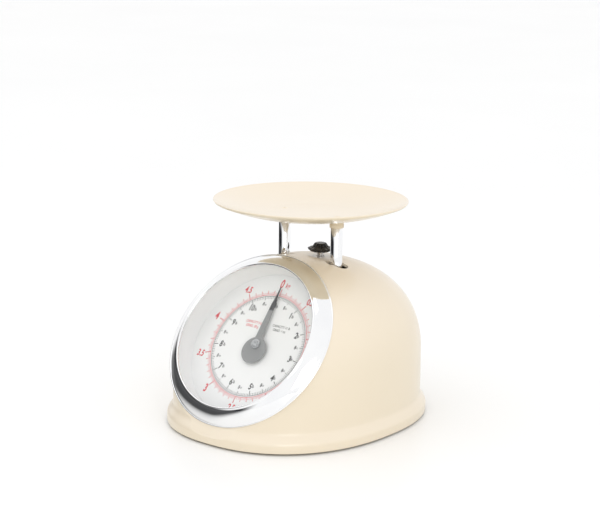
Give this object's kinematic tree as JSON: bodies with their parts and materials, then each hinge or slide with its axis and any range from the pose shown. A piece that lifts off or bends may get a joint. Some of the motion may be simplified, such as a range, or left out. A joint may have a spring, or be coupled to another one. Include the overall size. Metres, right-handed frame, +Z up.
{
  "type": "kitchen scale",
  "caption": "Spring dial kitchen scale: domed cream body, leaning dial in a chrome bezel, round dish on two posts that sinks under load and turns the pointer.",
  "frame": {"origin": "on the table, under the middle of the body's base", "axes": "+X to the right of the dial, -Y towards the reader of the dial, +Z up"},
  "size_m": [0.2112, 0.2502, 0.198],
  "materials": {
    "cream_paint": "smooth gloss cream enamel",
    "cream_plastic": "moulded cream plastic",
    "chrome": "polished chrome plate",
    "clear_cover": "clear flat cover",
    "white_plastic": "white moulded plastic",
    "dial_print": "white enamel with printed scales",
    "pointer_grey": "grey painted sheet",
    "black_plastic": "black moulded plastic",
    "steel": "plain sheet and turned steel",
    "carriage_metal": "grey die casting",
    "brass": "turned brass",
    "rubber": "soft black rubber"
  },
  "bodies": {
    "housing": {"body_shell": "cream_paint", "base_plate": "cream_plastic", "rubber_feet": "rubber", "base_screws": "steel", "bezel_ring": "chrome", "dial_lens": "clear_cover", "dial_drum": "white_plastic", "drum_screws": "steel", "dial_plate": "dial_print", "front_bush": "brass", "rear_bush": "brass", "gear_bracket": "steel", "rack_guide": "black_plastic", "bracket_screws": "steel", "lever_pins": "steel", "frame": "steel", "frame_screws": "steel", "stop_bumper": "rubber", "main_spring": "steel"},
    "pan": {"carriage": "carriage_metal", "post_left": "chrome", "post_right": "chrome", "post_caps": "cream_plastic", "post_screws": "steel", "dish": "cream_paint", "dish_screws": "steel", "carriage_pins": "steel", "drive_arm": "steel", "arm_rivets": "steel", "drive_pin": "steel"},
    "rack_bar": {"rack": "steel"},
    "pointer_set": {"pointer": "pointer_grey", "pointer_cap": "steel", "pointer_shaft": "steel", "pinion": "brass"},
    "upper_lever": {"upper_lever": "steel"},
    "lower_lever": {"lower_lever": "steel"},
    "zero_spindle": {"zero_knob": "black_plastic", "zero_screw": "steel", "zero_clip": "steel"},
    "hanger": {"spring_hanger": "brass"}
  },
  "joints": [
    {"name": "pan_slide", "type": "slide", "parent": "housing", "child": "pan", "axis": [0, 0, -1], "range_m": [0, 0.01414], "stiffness_N_per_m": 3470, "springref_m": -0.004, "deforming": ["main_spring"]},
    {"name": "rack_slide", "type": "slide", "parent": "housing", "child": "rack_bar", "axis": [0, -0.5948, -0.8039], "range_m": [0, 0.0176]},
    {"name": "pointer_turn", "type": "hinge", "parent": "housing", "child": "pointer_set", "pos_m": [0, -0.069, 0.0835], "axis": [0, 0.8039, -0.5948], "range_deg": [0, 360.2]},
    {"name": "upper_lever_hinge", "type": "hinge", "parent": "housing", "child": "upper_lever", "pos_m": [0, 0.07599, 0.078], "axis": [1, 0, 0], "range_deg": [0, 13.56]},
    {"name": "lower_lever_hinge", "type": "hinge", "parent": "housing", "child": "lower_lever", "pos_m": [0, 0.07599, 0.03], "axis": [1, 0, 0], "range_deg": [0, 13.56]},
    {"name": "zero_turn", "type": "hinge", "parent": "housing", "child": "zero_spindle", "pos_m": [0, 0.0295, 0.147], "axis": [0, 0, 1], "range_deg": [-360, 360]},
    {"name": "hanger_slide", "type": "slide", "parent": "housing", "child": "hanger", "axis": [0, 0, 1], "range_m": [-0.001, 0.001]}
  ],
  "couplings": [
    {"joint": "rack_slide", "follows": "pan_slide", "ratio": 1.244},
    {"joint": "pointer_turn", "follows": "pan_slide", "rad_per_m": 444.29},
    {"joint": "upper_lever_hinge", "follows": "pan_slide", "rad_per_m": 16.706},
    {"joint": "lower_lever_hinge", "follows": "pan_slide", "rad_per_m": 16.706},
    {"joint": "hanger_slide", "follows": "zero_turn", "m_per_rad": -0.00015915}
  ]
}
